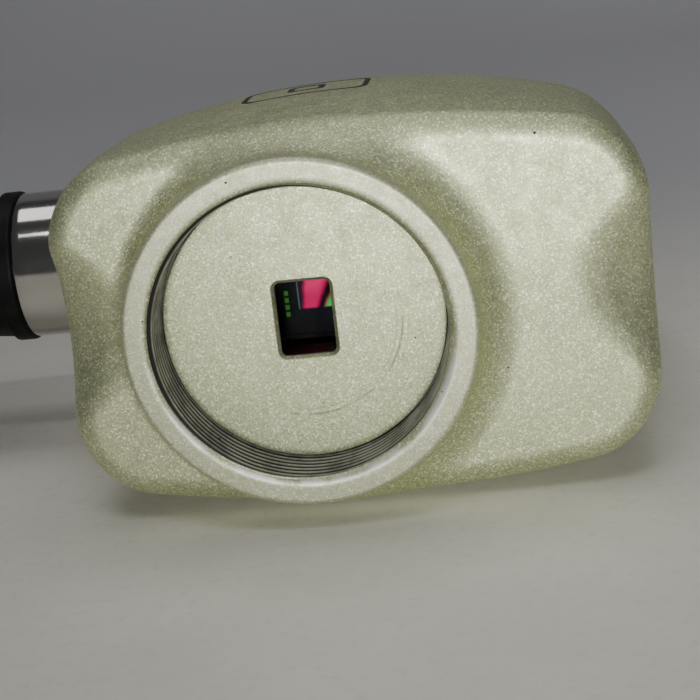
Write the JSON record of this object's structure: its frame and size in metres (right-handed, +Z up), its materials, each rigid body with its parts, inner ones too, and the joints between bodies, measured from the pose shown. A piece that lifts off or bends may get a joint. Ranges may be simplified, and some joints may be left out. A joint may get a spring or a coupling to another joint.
{
  "type": "intraoral camera head",
  "caption": "Pebble-shaped metal camera head with a threaded lens port, an image sensor behind a small window, and a side cable gland with a rubber boot.",
  "frame": {"origin": "centre of the lens port's lip face, on the port axis", "axes": "-Y points out of the lens port and +Y into the body; -X points along the cable gland, away from the body; +Z is up, square to the body's domed side"},
  "size_m": [0.102, 0.058, 0.0348],
  "materials": {
    "housing_paint": "satin champagne metallic paint on cast aluminium",
    "plate_paint": "satin champagne metallic paint on turned aluminium",
    "polished_steel": "polished stainless steel",
    "boot_rubber": "matt black moulded rubber",
    "seal_rubber": "black silicone rubber",
    "screw_steel": "plain stainless steel",
    "filter_glass": "coated optical glass",
    "black_anodised": "matt black anodised",
    "package_ceramic": "dark fired ceramic",
    "silicon": "dark image sensor face",
    "gold_contact": "gold plated",
    "thermal_silicone": "soft grey silicone pad",
    "circuit_board": "green solder mask on glass fibre board",
    "chip_plastic": "black moulded epoxy",
    "post_brass": "nickel plated brass",
    "connector_plastic": "black moulded nylon",
    "tin_can": "tin plated steel",
    "header_plastic": "off-white moulded nylon",
    "grip_plastic": "grey nylon"
  },
  "bodies": {
    "root": {"front_housing": "housing_paint", "rear_cover": "housing_paint", "rear_seal": "seal_rubber", "cover_screws": "screw_steel", "screw_plugs": "seal_rubber", "aperture_plate": "plate_paint", "filter_seal": "seal_rubber", "filter_glass": "filter_glass", "light_baffle": "black_anodised", "sensor_seal": "seal_rubber", "sensor_cover_glass": "filter_glass", "sensor_package": "package_ceramic", "sensor_die": "silicon", "sensor_bond_pads": "gold_contact", "sensor_leads": "gold_contact", "thermal_pad": "thermal_silicone", "sensor_board": "circuit_board", "sensor_board_chips": "chip_plastic", "front_posts": "post_brass", "board_posts": "post_brass", "board_screws": "screw_steel", "connector_plug": "connector_plastic", "connector_socket": "connector_plastic", "video_board": "circuit_board", "video_board_chips": "chip_plastic", "crystal": "tin_can", "processor_chip": "chip_plastic", "heat_pad": "thermal_silicone", "shield_can": "tin_can", "cable_header": "header_plastic", "header_pins": "gold_contact", "gland_ring": "polished_steel", "gland_seal": "seal_rubber", "gland_washer": "screw_steel", "gland_nut": "screw_steel", "cable_grip": "grip_plastic", "strain_relief_boot": "boot_rubber"}
  },
  "joints": []
}
